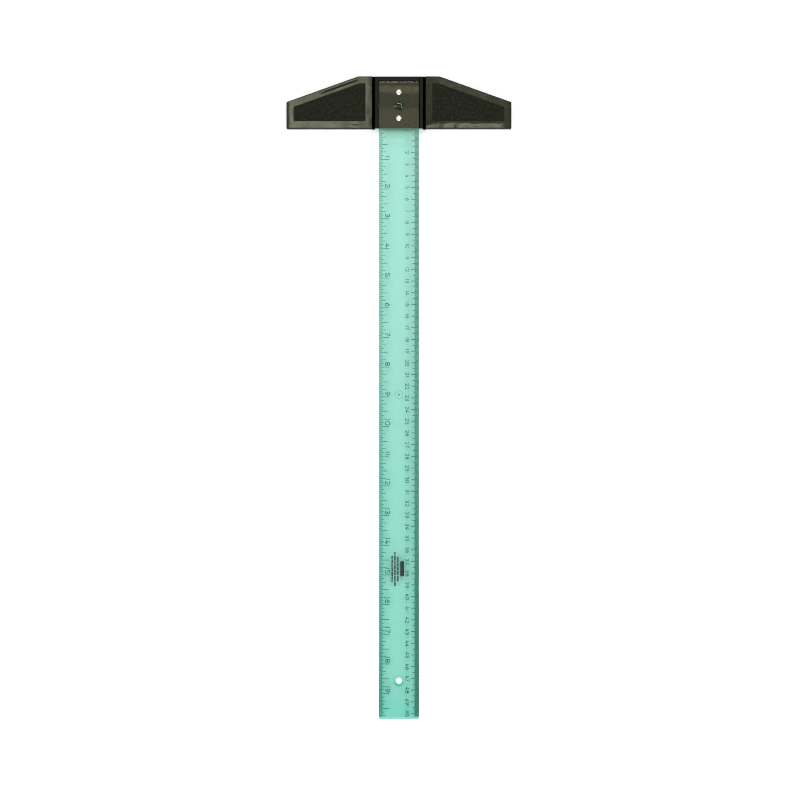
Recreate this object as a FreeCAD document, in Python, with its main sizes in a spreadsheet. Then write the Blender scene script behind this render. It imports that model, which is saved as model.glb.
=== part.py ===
# T-square, 500 mm, fixed head.
# Frame: X runs across the head, Y along the blade with the head at +Y and the tip at -Y, +Z is up (the printed side).
# The origin is the middle of the overall outline, on the plane that the underside of the head rests on.
# Inside each body Y is counted from the working edge of the head, which is also the zero of both scales.
import FreeCAD, Part
import math
import os
import Sketcher

App = FreeCAD
doc = App.newDocument("t_square")

# ---------------------------------------------------------------- driving dimensions, millimetres
TABLE = [
    # the whole
    ("blade_reach", 505.0, "working edge to the tip of the blade"),
    ("head_depth", 45.0, "working edge to the back of the head"),
    # blade
    ("blade_lap", 40.7, "working edge to the end of the blade that lies in the head"),
    ("blade_width", 34.5, "width of the blade"),
    ("blade_thick", 2.0, "thickness of the blade"),
    ("blade_base", 5.0, "height of the underside of the blade"),
    ("blade_round", 2.0, "corner radius of the blade"),
    ("tip_run", 1.9, "length of the bevel across the tip"),
    ("tip_drop", 0.7, "drop of the bevel across the tip"),
    ("end_run", 0.8, "length of the bevel across the end in the head"),
    ("end_drop", 0.2, "drop of the bevel across the end in the head"),
    ("side_break", 0.25, "broken long edges of the blade"),
    ("hang_line", 472.3, "working edge to the hanging hole"),
    ("hang_bore", 5.3, "diameter of the hanging hole"),
    ("hang_ring", 10.0, "diameter of the shallow dish about the hanging hole"),
    ("gate_line", 227.2, "working edge to the moulding gate mark"),
    ("gate_ring", 7.4, "diameter of the shallow dish at the gate"),
    ("gate_pit", 1.3, "diameter of the pit left by the gate"),
    ("pit_deep", 0.5, "depth of that pit under the dish"),
    ("dish_deep", 0.25, "depth of the shallow dishes"),
    ("dish_slope", 0.25, "width of the sloping wall of the dishes"),
    # fasteners
    ("rivet_low", 9.35, "working edge to the lower rivet"),
    ("rivet_high", 31.7, "working edge to the upper rivet"),
    ("rivet_head", 5.0, "diameter of the rivet head"),
    ("rivet_dome", 1.5, "height of the rivet head"),
    ("rivet_rim", 0.3, "height of the rim of the rivet head"),
    ("rivet_shank", 3.0, "diameter of the rivet shank"),
    ("rivet_core", 1.8, "diameter of the hollow in the rivet end"),
    ("rivet_clinch", 4.6, "diameter of the rolled end"),
    ("shank_gap", 0.05, "radial clearance round the shank"),
    ("washer_outer", 7.0, "outer diameter of the washer"),
    ("washer_thick", 0.5, "thickness of the washer"),
    # locating peg of the head in the middle hole of the blade
    ("peg_line", 19.6, "working edge to the locating peg"),
    ("peg_width", 3.3, "diameter of the peg"),
    ("peg_tall", 1.2, "height of the peg over the seat"),
    ("peg_bore", 3.5, "diameter of the middle hole of the blade"),
    ("peg_flare", 6.2, "diameter of the countersink of the middle hole"),
    ("flare_deep", 1.3, "depth of that countersink"),
    # head
    ("half_span", 96.25, "centre to the end of a wing"),
    ("wing_end", 23.0, "depth of the head at the end of a wing"),
    ("flat_half", 34.9, "centre to the start of the sloping shoulder"),
    ("wing_tall", 9.0, "height of the wings"),
    ("wing_round", 0.8, "rounding of the upper outer edges"),
    ("corner_round", 0.9, "rounding of the upright corners"),
    ("rail_half", 20.6, "centre to the outside of the rails beside the blade"),
    ("rail_tall", 6.5, "height of the rails and of the ledge behind the blade"),
    ("slot_half", 22.5, "centre to the wall of a wing, past the deep slot"),
    ("slot_floor", 3.0, "height of the floor of the deep slots"),
    ("seat_gap", 0.15, "clearance of the blade in its seat"),
    ("relief_deep", 1.0, "set-back of the middle from the working edge"),
    ("field_inner", 28.6, "centre to the inner side of a grip field"),
    ("field_outer", 90.15, "centre to the outer side of a grip field"),
    ("field_low", 6.6, "working edge to the lower side of a grip field"),
    ("field_high", 39.0, "working edge to the upper side of a grip field"),
    ("field_knee", 33.9, "centre to the knee of a grip field"),
    ("field_end", 18.85, "working edge to the outer upper corner of a grip field"),
    ("field_deep", 0.3, "depth of a grip field"),
    ("field_round", 1.0, "corner radius of a grip field"),
    ("wall", 2.5, "outer walls seen from below"),
    ("edge_wall", 3.2, "wall behind the working edge"),
    ("rib", 1.6, "ribs seen from below"),
    ("core_deep", 6.0, "depth of the hollows under the wings"),
    ("rib_one", 46.0, "centre to the first rib under a wing"),
    ("rib_two", 68.5, "centre to the second rib under a wing"),
    ("belly_half", 17.8, "centre to the side of the hollow under the seat"),
    ("belly_deep", 2.0, "depth of the hollow under the seat"),
]

sheet = doc.addObject("Spreadsheet::Sheet", "Dimensions")
sheet.Label = "Dimensions"
for row, (alias, value, note) in enumerate(TABLE, start=1):
    sheet.set("A%d" % row, alias)
    sheet.set("B%d" % row, "%g" % value)
    sheet.setAlias("B%d" % row, alias)
    sheet.set("C%d" % row, note)
doc.recompute()


class Dim:
    """A length with the sheet expression that it stands for."""

    def __init__(self, value, text):
        self.value = float(value)
        self.text = text

    @staticmethod
    def of(other):
        return other if isinstance(other, Dim) else Dim(other, "%g" % other)

    def mix(self, other, sign, value):
        return Dim(value, "(%s %s %s)" % (self.text, sign, Dim.of(other).text))

    def __add__(self, other):
        return self.mix(other, "+", self.value + Dim.of(other).value)

    def __sub__(self, other):
        return self.mix(other, "-", self.value - Dim.of(other).value)

    def __mul__(self, other):
        return self.mix(other, "*", self.value * Dim.of(other).value)

    def __truediv__(self, other):
        return self.mix(other, "/", self.value / Dim.of(other).value)

    def __neg__(self):
        return Dim(-self.value, "(0 - %s)" % self.text)

    def root(self):
        return Dim(math.sqrt(self.value), "sqrt(%s)" % self.text)


S = {alias: Dim(value, "Dimensions.%s" % alias) for alias, value, note in TABLE}
ZERO = Dim(0.0, "0")
LIFT = (S["blade_reach"] - S["head_depth"]) / 2      # working edge, counted from the middle of the whole outline
BLADE_TOP = S["blade_base"] + S["blade_thick"]
SLOPE = (S["head_depth"] - S["wing_end"]) / (S["half_span"] - S["flat_half"])
STRETCH = (SLOPE * SLOPE + 1).root()


# ---------------------------------------------------------------- helpers
def body(name, along=None):
    """A body whose own Y = 0 is the working edge; `along` moves it along the blade."""
    piece = doc.addObject("PartDesign::Body", name)
    piece.Label = name
    where = LIFT if along is None else LIFT + along
    piece.Placement = App.Placement(App.Vector(0, where.value, 0), App.Rotation())
    piece.setExpression("Placement.Base.y", where.text)
    return piece


def sketch_on(piece, role, name, height=None):
    """A sketch on one of the body's own origin planes, lifted off it by `height` along the plane's normal."""
    plane = [f for f in piece.Origin.OriginFeatures if f.Role == role][0]
    sketch = piece.newObject("Sketcher::SketchObject", name)
    sketch.Label = name
    sketch.AttachmentSupport = [(plane, "")]
    sketch.MapMode = "FlatFace"
    if height is not None:
        sketch.AttachmentOffset = App.Placement(App.Vector(0, 0, height.value), App.Rotation())
        sketch.setExpression("AttachmentOffset.Base.z", height.text)
    return sketch


def hold(sketch, geo, pos, x, y, tag):
    """Fix a point of the sketch at (x, y) from the sketch origin, driven by the sheet."""
    for kind, dim in (("DistanceX", x), ("DistanceY", y)):
        dim = Dim.of(dim)
        if dim.text == "0":
            axis = -2 if kind == "DistanceX" else -1
            sketch.addConstraint(Sketcher.Constraint("PointOnObject", geo, pos, axis))
            continue
        index = sketch.addConstraint(Sketcher.Constraint(kind, -1, 1, geo, pos, dim.value))
        label = "%s_%s" % (tag, "across" if kind == "DistanceX" else "along")
        sketch.renameConstraint(index, label)
        sketch.setExpression("Constraints." + label, dim.text)


def outline(sketch, corners, tag):
    """A closed chain of straight lines through the corners."""
    points = [App.Vector(Dim.of(x).value, Dim.of(y).value, 0) for x, y in corners]
    first = sketch.GeometryCount
    count = len(points)
    for i in range(count):
        sketch.addGeometry(Part.LineSegment(points[i], points[(i + 1) % count]), False)
    for i in range(count):
        sketch.addConstraint(Sketcher.Constraint("Coincident", first + i, 2, first + (i + 1) % count, 1))
    for i, (x, y) in enumerate(corners):
        hold(sketch, first + i, 1, x, y, "%s%d" % (tag, i))


def ring(sketch, x, y, width, tag):
    """A circle of diameter `width`."""
    x, y = Dim.of(x), Dim.of(y)
    geo = sketch.addGeometry(Part.Circle(App.Vector(x.value, y.value, 0), App.Vector(0, 0, 1), width.value / 2), False)
    hold(sketch, geo, 3, x, y, tag)
    index = sketch.addConstraint(Sketcher.Constraint("Diameter", geo, width.value))
    sketch.renameConstraint(index, tag + "_wide")
    sketch.setExpression("Constraints." + tag + "_wide", width.text)


def pad(piece, sketch, length, name):
    feature = piece.newObject("PartDesign::Pad", name)
    feature.Label = name
    feature.Profile = sketch
    feature.Length = length.value
    feature.setExpression("Length", length.text)
    doc.recompute()
    return feature


def cut(piece, sketch, length, name, upward=False, both=False):
    """A pocket, checked by volume so that it really takes material away."""
    before = piece.Tip.Shape.Volume
    feature = piece.newObject("PartDesign::Pocket", name)
    feature.Label = name
    feature.Profile = sketch
    feature.Length = length.value
    feature.setExpression("Length", length.text)
    feature.Reversed = upward
    if both:
        feature.Midplane = True
    doc.recompute()
    taken = before - feature.Shape.Volume
    print("%-22s takes %9.2f mm3" % (name, taken))
    if taken <= 0:
        raise RuntimeError(name + " cuts nothing")
    return feature


def soften(piece, radius, name, wanted):
    """A fillet on the edges of the current tip for which wanted(edge) holds."""
    base = piece.Tip
    names = ["Edge%d" % (i + 1) for i, edge in enumerate(base.Shape.Edges) if wanted(edge)]
    if not names:
        raise RuntimeError(name + " finds no edge")
    feature = piece.newObject("PartDesign::Fillet", name)
    feature.Label = name
    feature.Base = (base, names)
    feature.Radius = radius.value
    feature.setExpression("Radius", radius.text)
    doc.recompute()
    return feature


def upright(low, high):
    """Picks the straight upright edges that run between the two heights."""
    def wanted(edge):
        box = edge.BoundBox
        return (box.XLength < 1e-6 and box.YLength < 1e-6
                and abs(box.ZMin - low) < 1e-6 and abs(box.ZMax - high) < 1e-6)
    return wanted


FAR = Dim(400.0, "400")

# ---------------------------------------------------------------- head: one moulding
# Two wings with sloping shoulders stand above a lower middle. The blade lies in a shallow seat in the middle, between
# two rails and in front of a ledge, and a deep slot parts each rail from its wing. The wings are hollow from below.
head = body("head")

sk = sketch_on(head, "XY_Plane", "head_outline")
outline(sk, [
    (-S["half_span"], ZERO), (S["half_span"], ZERO), (S["half_span"], S["wing_end"]),
    (S["flat_half"], S["head_depth"]), (-S["flat_half"], S["head_depth"]), (-S["half_span"], S["wing_end"]),
], "corner")
pad(head, sk, S["wing_tall"], "head_block")

tall = S["wing_tall"].value
soften(head, S["corner_round"], "upright_corners", upright(0.0, tall))
soften(head, S["wing_round"], "upper_outer_edges",
       lambda e: abs(e.BoundBox.ZMin - tall) < 1e-6 and abs(e.BoundBox.ZMax - tall) < 1e-6)

# the middle, lower than the wings, open at the front and at the back
sk = sketch_on(head, "XY_Plane", "middle_outline", S["wing_tall"])
outline(sk, [
    (-S["rail_half"], Dim(-5, "-5")), (S["rail_half"], Dim(-5, "-5")),
    (S["rail_half"], S["head_depth"] + 5), (-S["rail_half"], S["head_depth"] + 5),
], "middle")
cut(head, sk, S["wing_tall"] - S["rail_tall"], "lower_middle")

# the deep slots between the rails and the wings
sk = sketch_on(head, "XY_Plane", "slot_outlines", S["wing_tall"])
for side, tag in ((-1, "left"), (1, "right")):
    outline(sk, [
        (S["rail_half"] * side, Dim(-5, "-5")), (S["slot_half"] * side, Dim(-5, "-5")),
        (S["slot_half"] * side, S["head_depth"] + 5), (S["rail_half"] * side, S["head_depth"] + 5),
    ], tag)
cut(head, sk, S["wing_tall"] - S["slot_floor"], "deep_slots")

# the seat of the blade
sk = sketch_on(head, "XY_Plane", "seat_outline", S["rail_tall"])
half = S["blade_width"] / 2 + S["seat_gap"]
outline(sk, [
    (-half, Dim(-5, "-5")), (half, Dim(-5, "-5")),
    (half, S["blade_lap"] + S["seat_gap"]), (-half, S["blade_lap"] + S["seat_gap"]),
], "seat")
cut(head, sk, S["rail_tall"] - S["blade_base"], "blade_seat")
seat_back = (S["blade_lap"] + S["seat_gap"]).value
soften(head, S["blade_round"], "seat_corners",
       lambda e: upright(S["blade_base"].value, S["rail_tall"].value)(e)
       and abs(e.BoundBox.YMin - seat_back - 0.0) < 1e-6 and abs(abs(e.BoundBox.XMin) - half.value) < 1e-6)

# the middle stands back from the working edge, so that only the wings bear on the board
sk = sketch_on(head, "XY_Plane", "relief_outline", S["wing_tall"])
outline(sk, [
    (-S["rail_half"], Dim(-5, "-5")), (S["rail_half"], Dim(-5, "-5")),
    (S["rail_half"], S["relief_deep"]), (-S["rail_half"], S["relief_deep"]),
], "relief")
cut(head, sk, S["wing_tall"] + 1, "edge_relief")

# the sunk grip fields of the wings
sk = sketch_on(head, "XY_Plane", "field_outlines", S["wing_tall"])
for side, tag in ((-1, "left"), (1, "right")):
    outline(sk, [
        (S["field_inner"] * side, S["field_low"]), (S["field_outer"] * side, S["field_low"]),
        (S["field_outer"] * side, S["field_end"]), (S["field_knee"] * side, S["field_high"]),
        (S["field_inner"] * side, S["field_high"]),
    ], tag)
cut(head, sk, S["field_deep"], "grip_fields")
soften(head, S["field_round"], "field_corners",
       upright((S["wing_tall"] - S["field_deep"]).value, tall))

# hollows under the wings, three to a wing, with two ribs left between them
sk = sketch_on(head, "XY_Plane", "wing_hollow_outlines")


def shoulder(x):
    """Inner side of the wall under the sloping shoulder."""
    return S["head_depth"] - S["wall"] * STRETCH - (x - S["flat_half"]) * SLOPE


half_rib = S["rib"] / 2
inner = S["slot_half"] + S["wall"]
knee = S["flat_half"] - S["wall"] * (STRETCH - 1) / SLOPE
outer = S["half_span"] - S["wall"]
cells = [
    ("a", inner, S["rib_one"] - half_rib, True),
    ("b", S["rib_one"] + half_rib, S["rib_two"] - half_rib, False),
    ("c", S["rib_two"] + half_rib, outer, False),
]
for side, tag in ((-1, "left"), (1, "right")):
    for letter, low, high, kneed in cells:
        corners = [(low * side, S["edge_wall"]), (high * side, S["edge_wall"]), (high * side, shoulder(high))]
        if kneed:
            corners += [(knee * side, S["head_depth"] - S["wall"]), (low * side, S["head_depth"] - S["wall"])]
        else:
            corners += [(low * side, shoulder(low))]
        outline(sk, corners, tag + "_" + letter)
cut(head, sk, S["core_deep"], "wing_hollows", upward=True)

# the shallow hollow under the seat, which takes the ends of the rivets
sk = sketch_on(head, "XY_Plane", "belly_outline")
outline(sk, [
    (-S["belly_half"], S["edge_wall"] + S["relief_deep"]), (S["belly_half"], S["edge_wall"] + S["relief_deep"]),
    (S["belly_half"], S["head_depth"] - S["edge_wall"]), (-S["belly_half"], S["head_depth"] - S["edge_wall"]),
], "belly")
cut(head, sk, S["belly_deep"], "belly_hollow", upward=True)

# rivet holes through the floor of the seat
sk = sketch_on(head, "XY_Plane", "head_rivet_holes", S["wing_tall"])
bore = S["rivet_shank"] + S["shank_gap"] * 2
ring(sk, ZERO, S["rivet_low"], bore, "low")
ring(sk, ZERO, S["rivet_high"], bore, "high")
cut(head, sk, S["wing_tall"] + 1, "rivet_bores")

# locating peg, moulded on the floor of the seat
sk = sketch_on(head, "XY_Plane", "peg_outline", S["blade_base"])
ring(sk, ZERO, S["peg_line"], S["peg_width"], "peg")
pad(head, sk, S["peg_tall"], "locating_peg")

# ---------------------------------------------------------------- blade: one clear strip
blade = body("blade")
half = S["blade_width"] / 2

sk = sketch_on(blade, "XY_Plane", "blade_outline", S["blade_base"])
outline(sk, [
    (-half, -S["blade_reach"]), (half, -S["blade_reach"]), (half, S["blade_lap"]), (-half, S["blade_lap"]),
], "strip")
pad(blade, sk, S["blade_thick"], "strip")
soften(blade, S["blade_round"], "blade_corners", upright(S["blade_base"].value, BLADE_TOP.value))

# bevels across both ends, drawn in the upright plane along the blade
sk = sketch_on(blade, "YZ_Plane", "end_bevel_outlines")
outline(sk, [
    (-S["blade_reach"] - 1, BLADE_TOP - S["tip_drop"] - S["tip_drop"] / S["tip_run"]),
    (-S["blade_reach"] + S["tip_run"], BLADE_TOP),
    (-S["blade_reach"] + S["tip_run"], BLADE_TOP + 1),
    (-S["blade_reach"] - 1, BLADE_TOP + 1),
], "tip")
outline(sk, [
    (S["blade_lap"] + 1, BLADE_TOP - S["end_drop"] - S["end_drop"] / S["end_run"]),
    (S["blade_lap"] - S["end_run"], BLADE_TOP),
    (S["blade_lap"] - S["end_run"], BLADE_TOP + 1),
    (S["blade_lap"] + 1, BLADE_TOP + 1),
], "end")
cut(blade, sk, S["blade_width"] + 10, "end_bevels", both=True)

# broken long edges
sk = sketch_on(blade, "XZ_Plane", "side_break_outlines")
for side, tag in ((-1, "left"), (1, "right")):
    outline(sk, [
        ((half + 1) * side, BLADE_TOP - S["side_break"] - 1),
        ((half - S["side_break"]) * side, BLADE_TOP),
        ((half - S["side_break"]) * side, BLADE_TOP + 1),
        ((half + 1) * side, BLADE_TOP + 1),
    ], tag)
cut(blade, sk, S["blade_reach"] * 2 + 200, "side_breaks", both=True)

# rivet holes, middle hole and hanging hole
sk = sketch_on(blade, "XY_Plane", "blade_holes", BLADE_TOP)
ring(sk, ZERO, S["rivet_low"], bore, "low")
ring(sk, ZERO, S["rivet_high"], bore, "high")
ring(sk, ZERO, S["peg_line"], S["peg_bore"], "peg")
ring(sk, ZERO, -S["hang_line"], S["hang_bore"], "hang")
cut(blade, sk, S["blade_thick"] + 1, "through_holes")


def turned(name, line, corners):
    """A groove turned about the upright line at distance `line` along the blade; corners count from that line."""
    sketch = sketch_on(blade, "YZ_Plane", name + "_outline")
    outline(sketch, [(line + out, high) for out, high in corners], name)
    axis = sketch.addGeometry(Part.LineSegment(App.Vector(line.value, 0, 0), App.Vector(line.value, 1, 0)), True)
    hold(sketch, axis, 1, line, ZERO, "spin_low")
    hold(sketch, axis, 2, line, Dim(1, "1"), "spin_high")
    sketch.Visibility = False
    before = blade.Tip.Shape.Volume
    groove = blade.newObject("PartDesign::Groove", name)
    groove.Label = name
    groove.Profile = sketch
    groove.ReferenceAxis = (sketch, ["Axis0"])
    groove.Angle = 360.0
    doc.recompute()
    print("%-22s takes %9.2f mm3" % (name, before - groove.Shape.Volume))
    if groove.Shape.Volume >= before:
        raise RuntimeError(name + " cuts nothing")


# the countersink of the middle hole
turned("middle_hole_flare", S["peg_line"], [
    (ZERO, BLADE_TOP - S["flare_deep"]), (S["peg_bore"] / 2, BLADE_TOP - S["flare_deep"]),
    (S["peg_flare"] / 2, BLADE_TOP), (ZERO, BLADE_TOP),
])

# the shallow dish about the hanging hole, and the dish at the gate with its pit
dish = BLADE_TOP - S["dish_deep"]
turned("hanging_dish", -S["hang_line"], [
    (ZERO, dish), (S["hang_ring"] / 2 - S["dish_slope"], dish), (S["hang_ring"] / 2, BLADE_TOP), (ZERO, BLADE_TOP),
])
turned("gate_dish", -S["gate_line"], [
    (ZERO, dish - S["pit_deep"]), (S["gate_pit"] / 2, dish), (S["gate_ring"] / 2 - S["dish_slope"], dish),
    (S["gate_ring"] / 2, BLADE_TOP), (ZERO, BLADE_TOP),
])

# ---------------------------------------------------------------- rivets: domed head, hollow end rolled over a washer
def rivet(name, along):
    piece = body(name, along)
    sk = sketch_on(piece, "XZ_Plane", name + "_profile")
    base, top = BLADE_TOP, BLADE_TOP + S["rivet_dome"]
    rim = BLADE_TOP + S["rivet_rim"]
    reach = S["rivet_head"] / 2
    shank = S["rivet_shank"] / 2
    roll = S["rivet_clinch"] / 2
    core = S["rivet_core"] / 2
    under = S["belly_deep"] - S["washer_thick"]
    # the arc of the dome, with its centre on the axis of the rivet
    rise = top.value - rim.value
    radius = (reach.value ** 2 + rise ** 2) / (2 * rise)
    middle = top.value - radius
    start = math.atan2(rim.value - middle, reach.value)
    sk.addGeometry(Part.ArcOfCircle(
        Part.Circle(App.Vector(0, middle, 0), App.Vector(0, 0, 1), radius), start, math.pi / 2), False)
    chain = [
        (ZERO, top), (ZERO, under + 2.2), (core, under + 1.9), (core, under - 0.3), (core + 0.35, under - 0.8),
        (roll - 0.45, under - 0.8), (roll, under - 0.4), (roll, under), (shank, under), (shank, base), (reach, base),
        (reach, rim),
    ]
    for a, b in zip(chain, chain[1:]):
        sk.addGeometry(Part.LineSegment(App.Vector(Dim.of(a[0]).value, a[1].value, 0),
                                        App.Vector(Dim.of(b[0]).value, b[1].value, 0)), False)
    last = len(chain) - 1
    for i in range(1, last):
        sk.addConstraint(Sketcher.Constraint("Coincident", i, 2, i + 1, 1))
    sk.addConstraint(Sketcher.Constraint("Coincident", last, 2, 0, 1))
    sk.addConstraint(Sketcher.Constraint("Coincident", 1, 1, 0, 2))
    sk.addConstraint(Sketcher.Constraint("PointOnObject", 0, 3, -2))
    for i, (x, y) in enumerate(chain[:-1]):
        hold(sk, i + 1, 1, x, y, "turn%d" % i)
    hold(sk, last, 2, chain[-1][0], chain[-1][1], "turn%d" % last)
    turned = piece.newObject("PartDesign::Revolution", name + "_turned")
    turned.Label = name + "_turned"
    turned.Profile = sk
    turned.ReferenceAxis = (sk, ["V_Axis"])
    turned.Angle = 360.0
    doc.recompute()
    return piece


# ---------------------------------------------------------------- washers under the rolled ends
def washer(name, along):
    piece = body(name, along)
    sk = sketch_on(piece, "XY_Plane", name + "_outline", S["belly_deep"] - S["washer_thick"])
    ring(sk, ZERO, ZERO, S["washer_outer"], "outer")
    ring(sk, ZERO, ZERO, bore, "inner")
    pad(piece, sk, S["washer_thick"], name + "_disc")
    return piece


pieces = [
    head, blade,
    rivet("upper_rivet", S["rivet_high"]), rivet("lower_rivet", S["rivet_low"]),
    washer("upper_washer", S["rivet_high"]), washer("lower_washer", S["rivet_low"]),
]

# ---------------------------------------------------------------- checks, then the files
doc.recompute()
for thing in doc.Objects:
    for word in ("Invalid", "Error"):
        if word in thing.State:
            raise RuntimeError("%s is %s" % (thing.Name, thing.State))
for piece in pieces:
    if piece.Shape.isNull() or not piece.Shape.isValid() or len(piece.Shape.Solids) != 1:
        raise RuntimeError("%s has no valid single solid" % piece.Label)

os.makedirs("parts", exist_ok=True)
for piece in pieces:
    box = piece.Shape.BoundBox
    print("%-14s %8.1f mm3  X %.2f..%.2f  Y %.2f..%.2f  Z %.2f..%.2f" % (
        piece.Label, piece.Shape.Volume, box.XMin, box.XMax, box.YMin, box.YMax, box.ZMin, box.ZMax))
    piece.Shape.exportStep("parts/%s.step" % piece.Label)
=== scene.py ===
import math

import bpy
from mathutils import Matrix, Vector


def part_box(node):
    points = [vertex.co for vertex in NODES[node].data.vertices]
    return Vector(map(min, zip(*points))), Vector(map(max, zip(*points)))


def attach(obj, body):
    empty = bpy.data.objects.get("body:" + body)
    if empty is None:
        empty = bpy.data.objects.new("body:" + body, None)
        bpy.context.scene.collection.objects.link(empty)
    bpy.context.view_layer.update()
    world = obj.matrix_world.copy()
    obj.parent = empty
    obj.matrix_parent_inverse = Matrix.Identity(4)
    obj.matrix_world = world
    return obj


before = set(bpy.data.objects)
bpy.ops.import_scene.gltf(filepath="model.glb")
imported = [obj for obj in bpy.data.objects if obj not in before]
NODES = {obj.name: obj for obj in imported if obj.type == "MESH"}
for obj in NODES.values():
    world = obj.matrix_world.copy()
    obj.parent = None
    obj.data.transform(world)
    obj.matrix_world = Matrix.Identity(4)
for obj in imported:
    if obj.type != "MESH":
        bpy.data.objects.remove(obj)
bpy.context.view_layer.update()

MM = 0.001
scene = bpy.context.scene
scene.view_settings.view_transform = "Standard"
scene.view_settings.look = "None"
if hasattr(scene, "cycles"):
    scene.cycles.filter_width = 1.0       # crisp print

head_low, head_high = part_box("head")
blade_low, blade_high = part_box("blade")
EDGE = head_low.y                  # working edge of the head, zero of both scales
TIP = blade_low.y
TOP = blade_high.z                 # printed face of the blade
HALF = blade_high.x                # half of the blade's width
GATE = EDGE - 0.2272                # centre of the gate dish
HANG = EDGE - 0.4723                # centre of the hanging hole
PEG = EDGE + 0.0196                 # centre of the middle hole


# ------------------------------------------------------------------ small helpers for node materials
class Nodes:
    """Builds one procedural material."""

    def __init__(self, name):
        self.material = bpy.data.materials.new(name)
        self.material.use_nodes = True
        self.tree = self.material.node_tree
        self.tree.nodes.clear()

    def add(self, kind, **settings):
        node = self.tree.nodes.new(kind)
        for key, value in settings.items():
            setattr(node, key, value)
        return node

    def put(self, socket, value):
        if isinstance(value, bpy.types.NodeSocket):
            self.tree.links.new(value, socket)
        elif value is not None:
            socket.default_value = value

    def math(self, operation, a, b=None, c=None, clamp=False):
        node = self.add("ShaderNodeMath", operation=operation, use_clamp=clamp)
        for socket, value in zip(node.inputs, (a, b, c)):
            self.put(socket, value)
        return node.outputs[0]

    def step(self, value, low, high, to_low=0.0, to_high=1.0):
        """Smooth ramp from to_low at low to to_high at high."""
        node = self.add("ShaderNodeMapRange", interpolation_type="SMOOTHSTEP")
        for i, v in enumerate((value, low, high, to_low, to_high)):
            self.put(node.inputs[i], v)
        return node.outputs[0]

    def noise(self, where, scale, detail=2.0, rough=0.5, distortion=0.0):
        node = self.add("ShaderNodeTexNoise", noise_dimensions="3D")
        self.put(node.inputs["Vector"], where)
        node.inputs["Scale"].default_value = scale
        node.inputs["Detail"].default_value = detail
        node.inputs["Roughness"].default_value = rough
        node.inputs["Distortion"].default_value = distortion
        return node.outputs[0]

    def place(self):
        """Object coordinates: metres in the frame of the part."""
        return self.add("ShaderNodeTexCoord").outputs["Object"]

    def stretch(self, where, scale, move=(0, 0, 0)):
        node = self.add("ShaderNodeMapping")
        self.put(node.inputs["Vector"], where)
        node.inputs["Scale"].default_value = scale
        node.inputs["Location"].default_value = move
        return node.outputs[0]

    def split(self, where):
        node = self.add("ShaderNodeSeparateXYZ")
        self.put(node.inputs[0], where)
        return node.outputs

    def blend(self, share, a, b):
        node = self.add("ShaderNodeMix", data_type="RGBA")
        self.put(node.inputs["Factor"], share)
        for key, value in (("A", a), ("B", b)):
            socket = [s for s in node.inputs if s.name == key and s.type == "RGBA"][0]
            self.put(socket, value)
        return [s for s in node.outputs if s.type == "RGBA"][0]

    def lerp(self, share, a, b):
        node = self.add("ShaderNodeMix", data_type="FLOAT")
        self.put(node.inputs["Factor"], share)
        for key, value in (("A", a), ("B", b)):
            socket = [s for s in node.inputs if s.name == key and s.type == "VALUE"][0]
            self.put(socket, value)
        return [s for s in node.outputs if s.type == "VALUE"][0]

    def times(self, a, b):
        node = self.add("ShaderNodeMix", data_type="RGBA", blend_type="MULTIPLY")
        self.put(node.inputs["Factor"], 1.0)
        for key, value in (("A", a), ("B", b)):
            self.put([s for s in node.inputs if s.name == key and s.type == "RGBA"][0], value)
        return [s for s in node.outputs if s.type == "RGBA"][0]

    def ramp(self, where, reach, stops):
        """Colours along a length, given as (metres, colour) pairs."""
        node = self.add("ShaderNodeValToRGB")
        node.color_ramp.interpolation = "LINEAR"
        while len(node.color_ramp.elements) > 1:
            node.color_ramp.elements.remove(node.color_ramp.elements[-1])
        for i, (spot, colour) in enumerate(stops):
            mark = node.color_ramp.elements[0] if i == 0 else node.color_ramp.elements.new(spot / reach)
            mark.position = spot / reach
            mark.color = tuple(colour) + (1,)
        self.put(node.inputs[0], self.math("DIVIDE", where, reach, clamp=True))
        return node.outputs[0]

    def bump(self, height, distance, strength=1.0, under=None):
        node = self.add("ShaderNodeBump")
        node.inputs["Distance"].default_value = distance
        node.inputs["Strength"].default_value = strength
        self.put(node.inputs["Height"], height)
        if under is not None:
            self.put(node.inputs["Normal"], under)
        return node.outputs[0]

    def shader(self, **inputs):
        node = self.add("ShaderNodeBsdfPrincipled")
        for key, value in inputs.items():
            self.put(node.inputs[key.replace("_", " ")], value)
        return node

    def finish(self, surface):
        out = self.add("ShaderNodeOutputMaterial")
        self.tree.links.new(surface, out.inputs["Surface"])
        return self.material


def dress(name, material):
    piece = NODES[name]
    piece.data.materials.clear()
    piece.data.materials.append(material)


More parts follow.
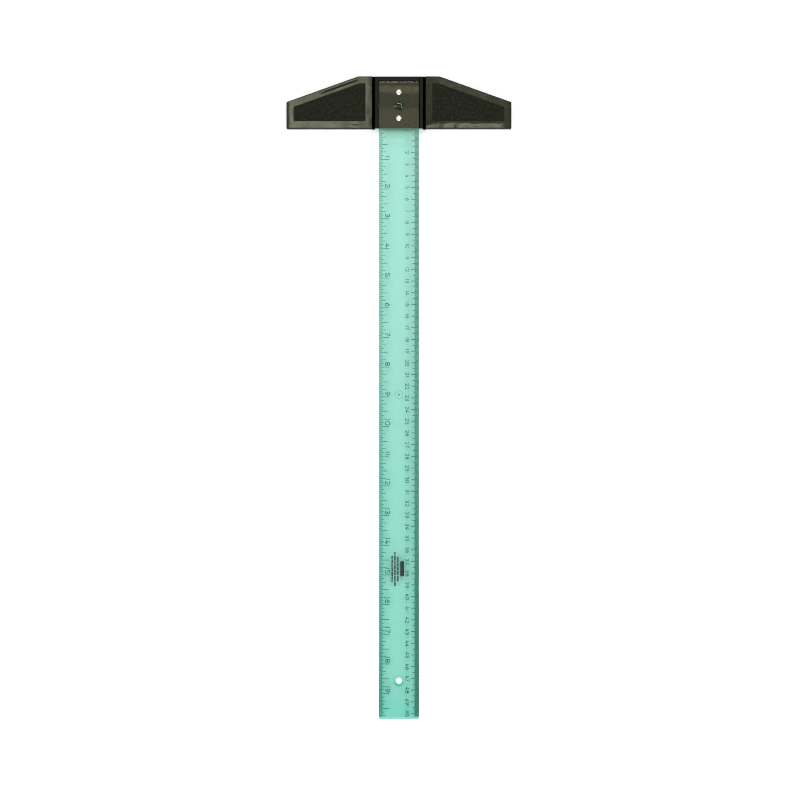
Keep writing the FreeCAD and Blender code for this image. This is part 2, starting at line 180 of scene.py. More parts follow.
# ------------------------------------------------------------------ black moulded plastic of the head
def head_material():
    m = Nodes("head_black_plastic")
    where = m.place()
    x, y, z = m.split(where)
    across = m.math("ABSOLUTE", x)
    along = m.math("SUBTRACT", y, EDGE)
    wing = m.step(across, 0.0230, 0.0233)
    # the floor of a grip field lies a little under the wing's top
    sunk = m.math("MULTIPLY", m.step(z, head_high.z - 0.00018, head_high.z - 0.00010, 1.0, 0.0),
                  m.step(z, head_high.z - 0.00045, head_high.z - 0.00040))
    field = m.math("MULTIPLY", sunk, wing)
    # the deep slots between the rails and the wings, coloured near-black as painted shade
    slot_shade = m.math("MULTIPLY", m.step(across, 0.02040, 0.02052), m.step(across, 0.02290, 0.02305, 1.0, 0.0))
    # painted shade in the narrow gaps beside the blade and beyond its end
    beside_shade = m.math("MULTIPLY", m.step(x, 0.01720, 0.01726), m.step(x, 0.01775, 0.01800, 1.0, 0.0))
    beside_shade = m.math("MAXIMUM", beside_shade, m.math("MULTIPLY", m.math("MULTIPLY", m.step(x, -0.0176, -0.0174), m.step(x, -0.01725, -0.01720, 1.0, 0.0)), 0.5))
    beyond = m.math("MULTIPLY", m.step(along, 0.04060, 0.04070), m.step(along, 0.0414, 0.0417, 1.0, 0.0))
    beyond = m.math("MULTIPLY", beyond, m.step(across, 0.0172, 0.0176, 0.8, 0.0))
    gap = m.math("MAXIMUM", slot_shade, m.math("MAXIMUM", beside_shade, beyond))
    # the top of the locating peg
    peg = m.math("SQRT", m.math("ADD", m.math("POWER", x, 2.0), m.math("POWER", m.math("SUBTRACT", y, PEG), 2.0)))
    peg = m.step(peg, 0.00150, 0.00165, 1.0, 0.0)
    # spark-eroded grain of the grip fields
    grain = m.noise(where, 2600.0, 3.0, 0.6)
    coarse = m.noise(where, 560.0, 2.0, 0.6)
    texture = m.math("ADD", m.math("MULTIPLY", grain, 0.65), m.math("MULTIPLY", coarse, 0.35))
    cloud = m.noise(where, 160.0, 3.0, 0.6)
    # slow waves of the polished faces, left by uneven shrinkage
    waves = m.noise(where, 42.0, 1.5, 0.4, 0.4)
    ripple = m.noise(m.stretch(where, (1.0, 2.2, 1.0)), 190.0, 2.0, 0.5, 0.6)
    fine = m.noise(where, 5200.0, 2.0, 0.5)
    # distance inside the sloping shoulders and the outer ends, for the slightly dull rim there
    slope = (head_high.y - EDGE - 0.0230) / (head_high.x - 0.0349)
    lean_in = math.sqrt(1 + slope * slope)
    shoulder = m.math("SUBTRACT", head_high.y - EDGE, m.math("MULTIPLY", m.math("SUBTRACT", across, 0.0349), slope))
    shoulder = m.math("DIVIDE", m.math("SUBTRACT", shoulder, along), lean_in)
    ends = m.math("SUBTRACT", head_high.x, across)
    inward = m.math("MINIMUM", shoulder, ends)
    inward = m.math("ADD", inward, m.math("MULTIPLY", m.math("SUBTRACT", ripple, 0.5), 0.0012))
    outer = m.math("ADD", ends, m.math("MULTIPLY", m.math("SUBTRACT", ripple, 0.5), 0.0012))
    rim = m.math("MAXIMUM", m.step(outer, 0.0021, 0.0030, 1.0, 0.0), m.math("MULTIPLY", m.step(inward, 0.0008, 0.0014, 0.25, 0.0), 1.0))
    front = m.math("MULTIPLY", m.step(along, 0.0007, 0.0013, 1.0, 0.0), m.step(x, -0.001, 0.001, 1.0, 0.3))
    rim = m.math("MULTIPLY", m.math("MAXIMUM", rim, front), wing)
    # one dull streak along the left shoulder
    streak = m.math("ABSOLUTE", m.math("SUBTRACT", inward, 0.0029))
    streak = m.step(streak, 0.0004, 0.0009, 1.0, 0.0)
    streak = m.math("MULTIPLY", streak, m.step(x, -0.070, -0.056))
    streak = m.math("MULTIPLY", streak, m.step(x, -0.040, -0.034, 1.0, 0.0))
    streak = m.math("MULTIPLY", streak, m.step(shoulder, 0.006, 0.007, 1.0, 0.0))
    # a short scuff on the left border, near the blade
    scuff = m.math("ADD", m.math("POWER", m.math("DIVIDE", m.math("ADD", x, 0.0377), 0.0032), 2.0),
                   m.math("POWER", m.math("DIVIDE", m.math("SUBTRACT", m.math("ADD", along, m.math("MULTIPLY", m.math("SUBTRACT", ripple, 0.5), 0.0010)), 0.0034), 0.00045), 2.0))
    streak = m.math("MAXIMUM", streak, m.step(scuff, 0.5, 1.3, 1.0, 0.0))
    # the strip under the right grip field falls away towards the working edge, with an uneven upper border
    border = m.math("ADD", 0.0047, m.math("MULTIPLY", m.math("SUBTRACT", m.noise(where, 120.0, 2.0, 0.5), 0.5), 0.0034))
    border = m.math("MULTIPLY", border, m.step(x, 0.0215, 0.036, 0.55, 1.0))
    fall = m.math("MAXIMUM", m.math("SUBTRACT", border, m.math("MAXIMUM", along, 0.0011)), 0.0)
    fall = m.math("MULTIPLY", fall, m.math("MULTIPLY", m.step(x, 0.0225, 0.0232), m.step(x, 0.0880, 0.0905, 1.0, 0.0)))
    fall = m.math("MULTIPLY", fall, -1.0)
    slow = m.bump(waves, 0.00016, 1.0)
    slow = m.bump(ripple, 0.000012, 1.0, slow)
    slow = m.bump(fall, 0.034, 1.0, slow)
    grit = m.bump(m.math("MULTIPLY", texture, field), 0.00012, 1.0, slow)
    grit = m.bump(fine, 0.000003, 0.5, grit)
    colour = m.blend(field, (0.0028, 0.0029, 0.0012, 1), m.blend(m.step(coarse, 0.45, 0.62), (0.0001, 0.0001, 0.0000, 1), (0.0088, 0.0089, 0.0032, 1)))
    mild = m.math("MULTIPLY", m.step(cloud, 0.35, 0.7), m.math("SUBTRACT", 0.6, m.math("MULTIPLY", field, 0.5)))
    colour = m.blend(mild, colour, (0.0034, 0.0036, 0.0017, 1))
    colour = m.blend(peg, colour, (0.0190, 0.0190, 0.0115, 1))
    # painted shade: the slots are coloured near-black
    colour = m.blend(slot_shade, colour, (0.0004, 0.0004, 0.0003, 1))
    polished = m.step(cloud, 0.3, 0.75, 0.055, 0.11)
    polished = m.math("ADD", polished, m.math("ADD", m.math("MULTIPLY", rim, 0.11), m.math("MULTIPLY", streak, 0.60)))
    rough = m.lerp(wing, m.step(cloud, 0.3, 0.75, 0.40, 0.52), polished)
    rough = m.lerp(field, rough, m.step(texture, 0.36, 0.64, 0.50, 0.80))
    rough = m.lerp(slot_shade, rough, 0.95)
    bsdf = m.shader(Base_Color=colour, Roughness=rough, IOR=1.53, Specular_IOR_Level=0.14, Specular_Tint=(1.0, 1.0, 0.84, 1), Normal=grit)
    # painted shade: a black matt shader is mixed in over the slots and the gaps
    shade_black = m.add("ShaderNodeBsdfDiffuse")
    m.put(shade_black.inputs["Color"], (0.0003, 0.0003, 0.0002, 1))
    mix = m.add("ShaderNodeMixShader")
    m.put(mix.inputs[0], m.math("MULTIPLY", gap, 0.85))
    m.put(mix.inputs[1], bsdf.outputs[0])
    m.put(mix.inputs[2], shade_black.outputs[0])
    return m.finish(mix.outputs[0])


# ------------------------------------------------------------------ clear teal plastic of the blade


def blade_material():
    m = Nodes("blade_teal_plastic")
    where = m.place()
    x, y, z = m.split(where)
    down = m.math("SUBTRACT", EDGE, y)
    streak = m.noise(m.stretch(where, (26.0, 5.0, 10.0)), 1.0, 2.0, 0.5)
    # the colour is deeper towards the tip, and deepest in a band before the tip behind a faint slanting boundary, which
    # is painted shade where the tip comes close to the floor
    tip_shade = m.math("SUBTRACT", down, m.math("ADD", 0.4908, m.math("MULTIPLY", x, 0.15)))
    tip_shade = m.math("MULTIPLY", m.step(tip_shade, -0.0012, 0.0016), m.step(down, 0.5026, 0.5034, 1.0, 0.0))
    # painted shade: the sloping walls of the two dishes, the lower rim of the hanging hole and the pit at the gate are
    # darkened
    gate = m.math("SQRT", m.math("ADD", m.math("POWER", x, 2.0), m.math("POWER", m.math("SUBTRACT", y, GATE), 2.0)))
    hang = m.math("SQRT", m.math("ADD", m.math("POWER", x, 2.0), m.math("POWER", m.math("SUBTRACT", y, HANG), 2.0)))
    ring_shade = m.math("MAXIMUM",
                   m.math("MULTIPLY", m.step(m.math("ABSOLUTE", m.math("SUBTRACT", gate, 0.00358)), 0.0001, 0.0004, 1.0, 0.0), 0.60),
                   m.math("MULTIPLY", m.step(m.math("ABSOLUTE", m.math("SUBTRACT", hang, 0.00488)), 0.0001, 0.0004, 1.0, 0.0), 0.40))
    hang_rim_shade = m.math("MAXIMUM", m.math("MULTIPLY", m.step(hang, 0.0036, 0.0050, 1.0, 0.0), 0.55),
                 m.math("MULTIPLY", m.step(hang, 0.0032, 0.0040, 1.0, 0.0), 0.85))
    hang_rim_shade = m.math("MULTIPLY", hang_rim_shade, m.step(y, HANG - 0.0022, HANG + 0.0004, 1.0, 0.06))
    ring_shade = m.math("MAXIMUM", ring_shade, hang_rim_shade)
    pit_shade = m.step(gate, 0.00060, 0.00105, 1.0, 0.0)
    # painted glint: arcs on the countersink of the middle hole are made rough and partly diffuse in a teal tone,
    # standing in for light refracted through it
    sink = m.math("SQRT", m.math("ADD", m.math("POWER", x, 2.0), m.math("POWER", m.math("SUBTRACT", y, PEG), 2.0)))
    countersink_glint = m.step(m.math("ABSOLUTE", m.math("SUBTRACT", sink, 0.00250)), 0.0001, 0.0004, 1.0, 0.0)
    sides = m.math("MAXIMUM", m.math("MULTIPLY", m.step(m.math("ADD", x, m.math("MULTIPLY", m.math("SUBTRACT", y, PEG), 0.6)), -0.0002, 0.0012), 1.0),
                   m.math("MULTIPLY", m.step(x, -0.0021, -0.0016, 1.0, 0.0), m.step(m.math("ABSOLUTE", m.math("SUBTRACT", y, PEG)), 0.0007, 0.0014, 1.0, 0.0)))
    countersink_glint = m.math("MULTIPLY", countersink_glint, m.math("MAXIMUM", sides, 0.15))
    # a burr stands round the countersink
    burr = m.step(m.math("ABSOLUTE", m.math("SUBTRACT", sink, 0.00345)), 0.0, 0.00032, 1.0, 0.0)
    lap = m.step(down, -0.0002, 0.0, 1.0, 0.0)

    # painted shadow: the two printed margins are darkened by the print's shadow, and the last millimetres before the
    # head by the head's shadow
    inches = m.math("MULTIPLY", m.step(x, -0.01415, -0.01395, 1.0, 0.0), m.step(down, 0.5025, 0.5031, 1.0, 0.0))
    millimetres = m.math("MULTIPLY", m.step(x, 0.01330, 0.01352), m.step(down, 0.5025, 0.5031, 1.0, 0.0))
    # painted shadow of the head on the floor under the blade, darkening its last millimetres before the head
    head_shadow = m.step(down, 0.0003, 0.0046, 1.0, 0.0)
    edge_shadow = m.step(down, 0.0003, 0.0025, 1.0, 0.0)

    def depth(power):
        def shade(name):
            return tuple(c ** power for c in TINTS[name]) + (1,)

        def along_blade(stops):
            return m.ramp(down, 0.51, [(spot, tuple(c ** power for c in tone)) for spot, tone in stops])

        tone = m.times(along_blade(FIELD_TINT_AND_SHADE), m.blend(streak, shade("streak_low"), shade("streak_high")))
        # painted shade in the band before the tip
        tone = m.blend(tip_shade, tone, shade("tip_shade"))
        white = (1, 1, 1, 1)
        # painted shadow of the print on both margins
        tone = m.times(tone, m.blend(inches, white, along_blade(INCH_MARGIN_SHADOW)))
        tone = m.times(tone, m.blend(millimetres, white, along_blade(MILLIMETRE_MARGIN_SHADOW)))
        tone = m.times(tone, m.blend(head_shadow, white, shade("head_shadow")))
        tone = m.times(tone, m.blend(edge_shadow, white, shade("edge_shadow")))
        # painted shade on the dish walls, the hanging hole's rim and the gate pit
        tone = m.blend(ring_shade, tone, shade("ring"))
        tone = m.blend(pit_shade, tone, shade("pit_shade"))
        # painted glint on the countersink of the middle hole
        return m.blend(countersink_glint, tone, shade("countersink_glint"))

    tint, half_tint = depth(1.0), depth(0.5)
    waves = m.noise(m.stretch(where, (30.0, 9.0, 10.0)), 1.0, 2.0, 0.5)
    scuffs = m.noise(m.stretch(where, (1400.0, 160.0, 400.0)), 1.0, 3.0, 0.7)
    normal = m.bump(waves, 0.00002, 1.0)
    normal = m.bump(burr, 0.00006, 1.0, normal)
    rough = m.math("ADD", m.step(scuffs, 0.45, 0.8, 0.008, 0.026), m.math("MULTIPLY", countersink_glint, 0.4))
    rough = m.math("ADD", rough, m.math("MULTIPLY", lap, 0.006))
    clear = m.shader(Base_Color=tint, Roughness=rough, IOR=1.49, Normal=normal,
                     Transmission_Weight=m.math("SUBTRACT", 1.0, m.math("MULTIPLY", countersink_glint, 0.75)))
    through = m.add("ShaderNodeBsdfTransparent")
    m.put(through.inputs["Color"], half_tint)
    path = m.add("ShaderNodeLightPath")
    lamps = m.math("MAXIMUM", path.outputs["Is Shadow Ray"], path.outputs["Is Diffuse Ray"])
    mix = m.add("ShaderNodeMixShader")
    m.put(mix.inputs[0], lamps)
    m.put(mix.inputs[1], clear.outputs[0])
    m.put(mix.inputs[2], through.outputs[0])
    return m.finish(mix.outputs[0])


# light left after one pass through the blade, along its length, with painted shade of the head over its first
# centimetre; the painted shadow of the print on the printed margins; and the tones of its small details, among them
# painted shade and a painted glint
# painted shade: the first stops, within a centimetre of the head, are darkened for the head's shadow
FIELD_TINT_AND_SHADE = ((0.000, (0.489, 0.711, 0.668)), (0.008, (0.482, 0.706, 0.664)), (0.012, (0.510, 0.724, 0.680)),
              (0.018, (0.524, 0.743, 0.689)), (0.100, (0.510, 0.735, 0.681)), (0.200, (0.496, 0.719, 0.668)),
              (0.300, (0.457, 0.704, 0.645)), (0.400, (0.432, 0.688, 0.630)), (0.460, (0.425, 0.682, 0.626)),
              (0.490, (0.395, 0.664, 0.609)), (0.503, (0.395, 0.664, 0.609)), (0.5036, (0.457, 0.703, 0.658)))
INCH_MARGIN_SHADOW = ((0.020, (0.704, 0.829, 0.795)), (0.100, (0.676, 0.829, 0.784)), (0.200, (0.650, 0.831, 0.786)),
             (0.250, (0.601, 0.806, 0.762)), (0.360, (0.662, 0.825, 0.792)), (0.430, (0.630, 0.819, 0.783)),
             (0.485, (0.499, 0.760, 0.718)))
MILLIMETRE_MARGIN_SHADOW = ((0.020, (0.571, 0.660, 0.605)), (0.100, (0.520, 0.644, 0.582)), (0.200, (0.491, 0.640, 0.586)),
                   (0.300, (0.468, 0.644, 0.588)), (0.400, (0.382, 0.598, 0.539)), (0.485, (0.424, 0.620, 0.570)))
TINTS = {"streak_low": (0.99, 0.995, 0.994), "streak_high": (1.0, 1.0, 1.0), "tip_shade": (0.360, 0.660, 0.596),
         "ring": (0.16, 0.45, 0.38), "pit_shade": (0.05, 0.32, 0.25), "head_shadow": (0.66, 0.85, 0.80),
         "edge_shadow": (0.52, 0.62, 0.56), "countersink_glint": (0.11, 0.36, 0.27)}


def metal_material(name, colour, darker, low, high, dome_shade=None):
    m = Nodes(name)
    where = m.place()
    grain = m.noise(where, 1500.0, 3.0, 0.6)
    patch = m.noise(where, 420.0, 2.0, 0.5)
    tone = m.blend(m.step(patch, 0.35, 0.7), colour, darker)
    if dome_shade:
        # painted shade: the lower right of each dome is darkened
        x, y, z = m.split(where)
        v = m.math("SUBTRACT", m.math("SUBTRACT", y, EDGE), m.step(y, EDGE + 0.0204, EDGE + 0.0206, 0.00935, 0.0317))
        side = m.math("SUBTRACT", m.math("MULTIPLY", x, 0.64), m.math("MULTIPLY", v, 0.77))
        tone = m.blend(m.math("MULTIPLY", m.step(side, 0.0006, 0.0023), 0.85), tone, dome_shade)
    rough = m.step(grain, 0.3, 0.75, low, high)
    normal = m.bump(grain, 0.00001, 0.6)
    bsdf = m.shader(Base_Color=tone, Roughness=rough, Metallic=1.0, Normal=normal)
    return m.finish(bsdf.outputs[0])


def ink_material(name, light, worn, thin=False):
    m = Nodes(name)
    where = m.place()
    wear = m.noise(where, 700.0, 3.0, 0.6)
    tone = m.blend(m.step(wear, 0.4, 0.75), light, worn)
    if thin:
        # the print lies thinner on both margins, where some of the blade's colour comes through
        x, y, z = m.split(where)
        down = m.math("SUBTRACT", EDGE, y)
        tone = m.blend(m.step(x, -0.01415, -0.01395, 1.0, 0.0), tone, m.ramp(down, 0.51, INCH_INK))
        tone = m.blend(m.step(x, 0.01330, 0.01352), tone, m.ramp(down, 0.51, MILLIMETRE_INK))
    rough = m.step(wear, 0.3, 0.8, 0.35, 0.55)
    normal = m.bump(wear, 0.000004, 0.5)
    bsdf = m.shader(Base_Color=tone, Roughness=rough, IOR=1.5, Normal=normal)
    return m.finish(bsdf.outputs[0])


INCH_INK = ((0.02, (0.071, 0.241, 0.173)), (0.25, (0.051, 0.207, 0.144)), (0.43, (0.033, 0.171, 0.121)))
MILLIMETRE_INK = ((0.02, (0.061, 0.169, 0.118)), (0.10, (0.042, 0.154, 0.100)), (0.20, (0.035, 0.152, 0.104)),
                  (0.30, (0.026, 0.149, 0.099)), (0.40, (0.017, 0.121, 0.081)), (0.485, (0.014, 0.118, 0.083)))

dress("head", head_material())
dress("blade", blade_material())
# the rivets carry painted shade on the lower right of their domes
bright = metal_material("rivet_bright_metal", (0.70, 0.70, 0.66, 1), (0.64, 0.64, 0.59, 1), 0.34, 0.46, (0.30, 0.31, 0.22, 1))
for name in ("upper_rivet", "lower_rivet"):
    dress(name, bright)
dull = metal_material("washer_plain_metal", (0.60, 0.60, 0.57, 1), (0.48, 0.48, 0.45, 1), 0.28, 0.42)
for name in ("upper_washer", "lower_washer"):
    dress(name, dull)


# ------------------------------------------------------------------ printed scales: thin raised ink on the blade
INK_LOW = TOP - 0.000004
INK_HIGH = TOP + 0.000018


class Ink:
    """Collects closed, very thin prisms and makes one mesh of them."""

    def __init__(self):
        self.verts, self.faces = [], []

    def prism(self, ring):
        """A prism over one convex or mildly bent outline, counter-clockwise seen from above."""
        area = sum(a[0] * b[1] - b[0] * a[1] for a, b in zip(ring, ring[1:] + ring[:1]))
        if area < 0:
            ring = ring[::-1]
        n, first = len(ring), len(self.verts)
        self.verts += [(px, py, INK_LOW) for px, py in ring] + [(px, py, INK_HIGH) for px, py in ring]
        self.faces.append([first + n + i for i in range(n)])
        self.faces.append([first + i for i in reversed(range(n))])
        for i in range(n):
            j = (i + 1) % n
            self.faces.append([first + i, first + j, first + n + j, first + n + i])

    def bar(self, x0, x1, y, width):
        self.prism([(x0, y - width / 2), (x1, y - width / 2), (x1, y + width / 2), (x0, y + width / 2)])

    def stroke(self, line, width, closed=False):
        """A ribbon of constant width along the points, with round ends, or closed on itself."""
        pts = [Vector(p) for p in line]
        n, r = len(pts), width / 2
        left, right = [], []
        for i, p in enumerate(pts):
            before = pts[i - 1] if (i or closed) else None
            after = pts[(i + 1) % n] if (i < n - 1 or closed) else None
            a = (p - before).normalized() if before is not None else (after - p).normalized()
            b = (after - p).normalized() if after is not None else a
            na, nb = Vector((-a.y, a.x)), Vector((-b.y, b.x))
            mid = (na + nb)
            mid = mid.normalized() if mid.length > 1e-6 else na
            reach = min(r / max(mid.dot(na), 0.35), r * 1.6)
            left.append(p + mid * reach)
            right.append(p - mid * reach)
        first = len(self.verts)
        if closed:
            for z in (INK_LOW, INK_HIGH):
                self.verts += [(q.x, q.y, z) for q in left]
                self.verts += [(q.x, q.y, z) for q in right]
            ll, rl, lh, rh = first, first + n, first + 2 * n, first + 3 * n
            for i in range(n):
                j = (i + 1) % n
                self.faces.append([lh + i, rh + i, rh + j, lh + j])
                self.faces.append([ll + j, rl + j, rl + i, ll + i])
                self.faces.append([ll + i, lh + i, lh + j, ll + j])
                self.faces.append([rl + j, rh + j, rh + i, rl + i])
            return
        def cap(centre, start, turn):
            steps = 6
            return [centre + Vector((math.cos(start + turn * k / steps), math.sin(start + turn * k / steps))) * r
                    for k in range(1, steps)]
        d0 = (pts[1] - pts[0]).normalized()
        d1 = (pts[-1] - pts[-2]).normalized()
        tail = cap(pts[0], math.atan2(d0.x, -d0.y), math.pi)      # from the left side round to the right side
        nose = cap(pts[-1], math.atan2(-d1.x, d1.y), math.pi)     # from the right side round to the left side
        # the body of the ribbon as quads, the two ends as fans
        k0, k1 = len(tail), len(nose)
        flat = left + right + tail + nose
        total = len(flat)
        for z in (INK_LOW, INK_HIGH):
            self.verts += [(q.x, q.y, z) for q in flat]
        low, high = first, first + total
        L = lambda i: i
        R = lambda i: n + i
        T = lambda i: 2 * n + i
        N = lambda i: 2 * n + k0 + i
        for i in range(n - 1):
            quad = [L(i), R(i), R(i + 1), L(i + 1)]
            self.faces.append([high + q for q in quad])
            self.faces.append([low + q for q in reversed(quad)])
        ends = [[L(0)] + [T(i) for i in range(k0)] + [R(0)], [R(n - 1)] + [N(i) for i in range(k1)] + [L(n - 1)]]
        for ring in ends:
            self.faces.append([high + q for q in ring])
            self.faces.append([low + q for q in reversed(ring)])
        rim = ends[0] + [R(i) for i in range(1, n)] + [N(i) for i in range(k1)] + [L(i) for i in range(n - 1, 0, -1)]
        for a, b in zip(rim, rim[1:] + rim[:1]):
            self.faces.append([low + a, low + b, high + b, high + a])

    def piece(self, name, material):
        mesh = bpy.data.meshes.new(name)
        mesh.from_pydata([tuple(v) for v in self.verts], [], self.faces)
        mesh.validate()
        mesh.update()
        mesh.materials.append(material)
        thing = bpy.data.objects.new(name, mesh)
        scene.collection.objects.link(thing)
        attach(thing, "root")
        return thing


# ------------------------------------------------------------------ plain stroke numerals, drawn in a box 0..1 by 0..1
def arc(cx, cy, rx, ry, start, end, steps=10):
    return [(cx + rx * math.cos(math.radians(start + (end - start) * k / steps)),
             cy + ry * math.sin(math.radians(start + (end - start) * k / steps))) for k in range(steps + 1)]


def loop(cx, cy, rx, ry, power=2.5, steps=20):
    pts = []
    for k in range(steps):
        t = 2 * math.pi * k / steps
        c, s = math.cos(t), math.sin(t)
        pts.append((cx + rx * math.copysign(abs(c) ** (2 / power), c), cy + ry * math.copysign(abs(s) ** (2 / power), s)))
    return pts


DIGITS = {
    "0": [(loop(0.5, 0.5, 0.5, 0.5, 2.7, 24), True)],
    "1": [([(0.5, 0.94), (0.5, 0.5), (0.5, 0.10)], False)],
    "2": [(arc(0.5, 0.71, 0.47, 0.29, 168, -22, 12) + [(0.62, 0.38), (0.03, 0.0), (0.5, 0.0), (1.0, 0.0)], False)],
    "3": [(arc(0.46, 0.765, 0.44, 0.235, 155, -75, 10) + [(0.42, 0.53)], False),
          ([(0.42, 0.53)] + arc(0.47, 0.265, 0.51, 0.265, 78, -158, 12), False)],
    "4": [([(0.55, 1.0), (0.28, 0.62), (0.0, 0.24), (0.5, 0.24), (1.0, 0.24)], False),
          ([(0.74, 0.52), (0.74, 0.25), (0.74, 0.0)], False)],
    "5": [([(0.93, 1.0), (0.5, 1.0), (0.10, 1.0), (0.06, 0.58)] + arc(0.48, 0.31, 0.50, 0.31, 128, -155, 13)[1:], False)],
    "6": [(loop(0.5, 0.31, 0.49, 0.31, 2.2, 20), True), ([(0.74, 1.0), (0.44, 0.80), (0.17, 0.56), (0.02, 0.36)], False)],
    "7": [([(0.0, 1.0), (0.5, 1.0), (1.0, 1.0), (0.62, 0.5), (0.30, 0.0)], False)],
    "8": [(loop(0.5, 0.765, 0.42, 0.235, 2.4, 18), True), (loop(0.5, 0.265, 0.50, 0.265, 2.4, 20), True)],
    "9": [(loop(0.5, 0.69, 0.49, 0.31, 2.2, 20), True), ([(0.26, 0.0), (0.56, 0.20), (0.83, 0.44), (0.98, 0.64)], False)],
}


def number(ink, text, base_x, start_y, tall, wide, gap, stroke, narrow=0.35):
    """Writes a number whose tops point to +X and which reads towards -Y. start_y is where it begins."""
    cursor = 0.0
    for sign in text:
        room = wide * narrow if sign == "1" else wide
        for line, closed in DIGITS[sign]:
            spots = []
            for u, v in line:
                along = cursor + (room / 2 if sign == "1" else stroke / 2 + u * (wide - stroke))
                up = stroke / 2 + v * (tall - stroke)
                spots.append((base_x + up, start_y - along))
            ink.stroke(spots, stroke, closed)
        cursor += room + gap


def length_of(text, wide, gap, narrow=0.35):
    return sum(wide * narrow if s == "1" else wide for s in text) + gap * (len(text) - 1)


LINE, THIN = 0.50 * MM, 0.44 * MM     # whole and part divisions
SHIFT = 0.5 * MM                      # the inch print starts a little beyond the working edge
INSET = 0.26 * MM
left, right = -HALF + INSET, HALF - INSET



def heavy(width, far):
    """The print is a little heavier towards the tip."""
    return width * (1 + 0.2 * far / 500.0)


inch_lines, cm_lines, inch_numbers, cm_numbers, mark = Ink(), Ink(), Ink(), Ink(), Ink()
for i in range(0, 317):            # sixteenths of an inch
    reach = 9.0 if i % 16 == 0 else 7.4 if i % 8 == 0 else 5.9 if i % 4 == 0 else 4.3 if i % 2 == 0 else 2.9
    if i % 8 == 0 and i >= 14.5 * 16:
        reach = 9.0
    inch_lines.bar(left, -HALF + reach * MM, EDGE - SHIFT - i * 25.4 / 16 * MM, heavy(THIN if i % 2 else LINE, i * 25.4 / 16))
for i in range(0, 503):            # millimetres
    reach = 6.7 if i % 10 == 0 else 5.5 if i % 5 == 0 else 3.35
    cm_lines.bar(HALF - reach * MM, right, EDGE - i * MM, heavy(LINE * 1.18 if i % 5 == 0 else THIN, i))

TALL, WIDE, GAP, PEN = 4.5 * MM, 3.4 * MM, 0.70 * MM, 0.69 * MM
for i in range(1, 20):
    text = str(i)
    end = EDGE - SHIFT - i * 25.4 * MM + (1.6 if i == 1 else 1.0) * MM
    number(inch_numbers, text, -HALF + 5.3 * MM, end + length_of(text, WIDE, GAP), TALL, WIDE, GAP, PEN)
TALL, WIDE, GAP, PEN = 3.5 * MM, 2.4 * MM, 0.45 * MM, 0.46 * MM
for i in range(0, 51):
    text = str(i)
    number(cm_numbers, text, HALF - 11.8 * MM, EDGE - i * 10 * MM + length_of(text, WIDE, GAP) / 2 - 0.15 * MM,
           TALL, WIDE, GAP, 0.36 * MM if i < 10 else PEN if i < 20 else 0.54 * MM)

# a plain maker's panel with no lettering: three broken rules and a bar
def rule(ink, x, y0, y1, width, breaks):
    cuts = [y0] + [y0 + (y1 - y0) * b for b in breaks] + [y1]
    for a, b in zip(cuts, cuts[1:]):
        ink.prism([(x - width / 2, a), (x + width / 2, a), (x + width / 2, b - 0.55 * MM * (1 if b > a else -1)),
                   (x - width / 2, b - 0.55 * MM * (1 if b > a else -1))])

for x, y0, y1, breaks in (
    (-5.8, 365.3, 388.3, (0.13, 0.31, 0.42, 0.60, 0.79, 0.90)),
    (-3.4, 361.8, 391.7, (0.10, 0.27, 0.36, 0.52, 0.68, 0.86)),
    (-0.9, 366.2, 387.6, (0.22, 0.40, 0.55, 0.76)),
):
    rule(mark, x * MM, EDGE - y0 * MM, EDGE - y1 * MM, 1.15 * MM, breaks)
mark.prism([(1.1 * MM, EDGE - 370.3 * MM), (1.1 * MM, EDGE - 382.2 * MM), (1.8 * MM, EDGE - 382.8 * MM),
            (3.8 * MM, EDGE - 382.8 * MM), (4.5 * MM, EDGE - 382.2 * MM), (4.5 * MM, EDGE - 370.3 * MM),
            (3.8 * MM, EDGE - 369.7 * MM), (1.8 * MM, EDGE - 369.7 * MM)])

ink = ink_material("scale_ink", (0.001, 0.135, 0.086, 1), (0.003, 0.165, 0.110, 1), True)
dark_ink = ink_material("panel_ink", (0.002, 0.010, 0.007, 1), (0.004, 0.018, 0.013, 1))
number_ink = ink_material("number_ink", (0.000, 0.108, 0.069, 1), (0.002, 0.131, 0.087, 1))
inch_lines.piece("inch_graduations", ink)
cm_lines.piece("centimetre_graduations", ink)
inch_numbers.piece("inch_numerals", ink)
cm_numbers.piece("centimetre_numerals", number_ink)
mark.piece("plain_panel", dark_ink)

# ------------------------------------------------------------------ stage: a pale floor that the head and the tip rest on
def floor_material():
    m = Nodes("floor_pale")
    where = m.place()
    grain = m.noise(where, 900.0, 2.0, 0.5)
    tone = m.blend(grain, (0.89, 0.89, 0.89, 1), (0.91, 0.91, 0.91, 1))
    bsdf = m.shader(Base_Color=tone, Roughness=0.9, Specular_IOR_Level=0.1)
    # seen from below the floor is clear, so that the underside of the T-square shows
    clear = m.add("ShaderNodeBsdfTransparent")
    mix = m.add("ShaderNodeMixShader")
    m.put(mix.inputs[0], m.add("ShaderNodeNewGeometry").outputs["Backfacing"])
    m.put(mix.inputs[1], bsdf.outputs[0])
    m.put(mix.inputs[2], clear.outputs[0])
    return m.finish(mix.outputs[0])


drop = blade_low.z - head_low.z
lean = drop / (EDGE - TIP)                      # the T-square lies on its head and on the tip of its blade
size = 3.0
ground = bpy.data.meshes.new("floor")
ground.from_pydata([(x, y, head_low.z - (y - EDGE) * lean - 0.00002) for x, y in
                    ((-size, -size), (size, -size), (size, size), (-size, size))], [], [(0, 1, 2, 3)])
ground.materials.append(floor_material())
floor = bpy.data.objects.new("floor", ground)
scene.collection.objects.link(floor)

# ------------------------------------------------------------------ light: even studio surround and soft boxes
world = bpy.data.worlds.new("studio")
world.use_nodes = True
world.node_tree.nodes["Background"].inputs[0].default_value = (1.0, 1.02, 0.82, 1)
world.node_tree.nodes["Background"].inputs[1].default_value = 0.38
scene.world = world


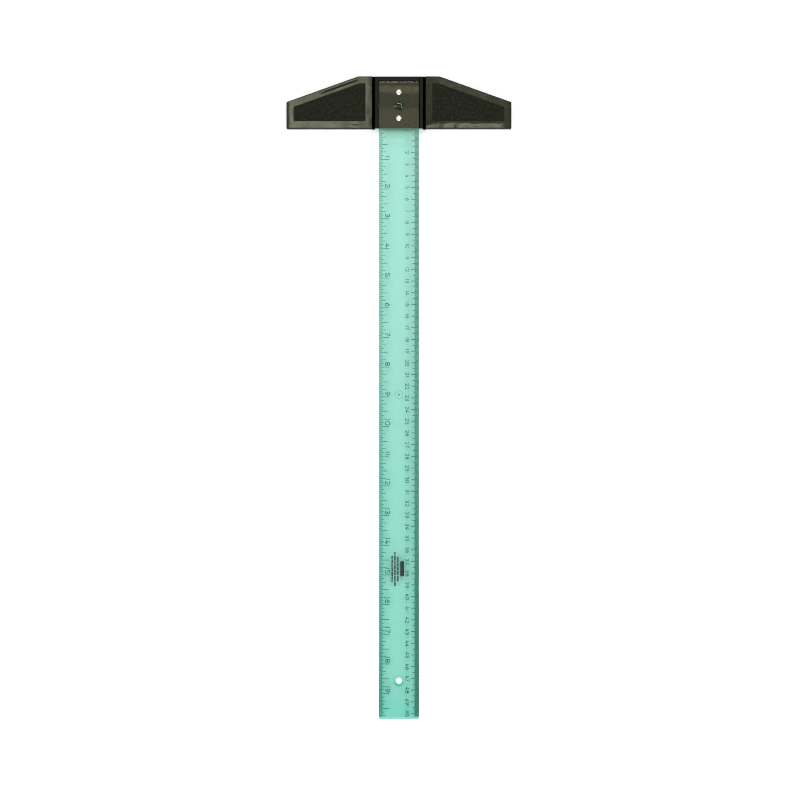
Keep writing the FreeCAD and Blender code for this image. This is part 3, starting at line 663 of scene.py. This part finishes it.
def softbox(name, place, target, wide, tall, radiance, colour=(1, 1, 1)):
    lamp = bpy.data.lights.new(name, "AREA")
    lamp.shape = "RECTANGLE"
    lamp.size, lamp.size_y = wide, tall
    lamp.energy = radiance * math.pi * wide * tall
    lamp.color = colour
    thing = bpy.data.objects.new(name, lamp)
    thing.location = place
    thing.rotation_mode = "QUATERNION"
    thing.rotation_quaternion = (Vector(target) - Vector(place)).to_track_quat("-Z", "Y")
    thing.visible_camera = False
    thing.visible_transmission = False
    scene.collection.objects.link(thing)
    return thing


def panel(name, x0, x1, y0, y1, radiance, colour, z=3.3):
    """A flat box high above, facing down, that the polished faces mirror towards the camera."""
    x, y = (x0 + x1) / 2, (y0 + y1) / 2
    softbox(name, (x, y, z), (x, y, 0), x1 - x0, y1 - y0, radiance, colour)


OLIVE, COOL = (0.97, 1.05, 0.88), (0.98, 0.985, 1.05)
panel("panel_left_front", -0.30, -0.0485, 0.445, 0.512, 18.5, OLIVE)
panel("panel_left_inner", -0.095, -0.0485, 0.512, 0.70, 16.5, OLIVE)
panel("panel_left_back", -0.17, -0.095, 0.535, 0.70, 3.5, OLIVE)
panel("panel_left_outer", -0.30, -0.17, 0.512, 0.70, 15.5, OLIVE)
panel("panel_right_front", 0.0485, 0.26, 0.14, 0.41, 14.0, OLIVE)
panel("panel_right", 0.0485, 0.26, 0.462, 0.68, 1.9, (1.0, 1.0, 0.86))
panel("panel_right_slope", 0.08, 0.17, 0.52, 0.64, 5.2, (1.0, 1.0, 0.86), 3.29)
SMOKE = (1.2, 1.14, 0.71)
panel("panel_middle_front", -0.039, 0.039, 0.462, 0.522, 1.18, SMOKE)
panel("panel_middle", -0.039, 0.039, 0.522, 0.5495, 0.76, SMOKE)
panel("panel_middle_band", -0.039, 0.039, 0.5495, 0.5615, 1.65, SMOKE)
panel("panel_middle_back", -0.039, 0.039, 0.5615, 0.640, 0.68, SMOKE)
panel("panel_back", -0.45, 0.45, 2.1, 2.8, 3.8, (1.0, 1.02, 0.82))
softbox("key_back", (0.0, 2.3, 2.2), (0, 0.1, 0), 2.0, 1.0, 9.8, COOL)
softbox("side_left", (-2.2, -0.2, 2.0), (0, 0, 0), 1.0, 1.4, 8.6, COOL)
softbox("side_right", (2.2, -0.2, 2.0), (0, 0, 0), 1.0, 1.4, 8.6, COOL)
softbox("fill_front", (0.0, -2.8, 1.45), (0, 0, 0), 2.0, 0.9, 15.0, COOL)

# ------------------------------------------------------------------ camera straight above, as far as a copy stand allows
PX_PER_M = 1168.6
camera = bpy.data.cameras.new("camera")
camera.sensor_fit = "HORIZONTAL"
camera.sensor_width = 36.0
height = 3.0
camera.lens = 36.0 / (800.0 / PX_PER_M) * height
camera.clip_start, camera.clip_end = 0.1, 20.0
eye = bpy.data.objects.new("camera", camera)
eye.location = (0.00094, EDGE - (400.0 - 129.09) / PX_PER_M, TOP + height)
scene.collection.objects.link(eye)
scene.camera = eye

bpy.context.view_layer.update()
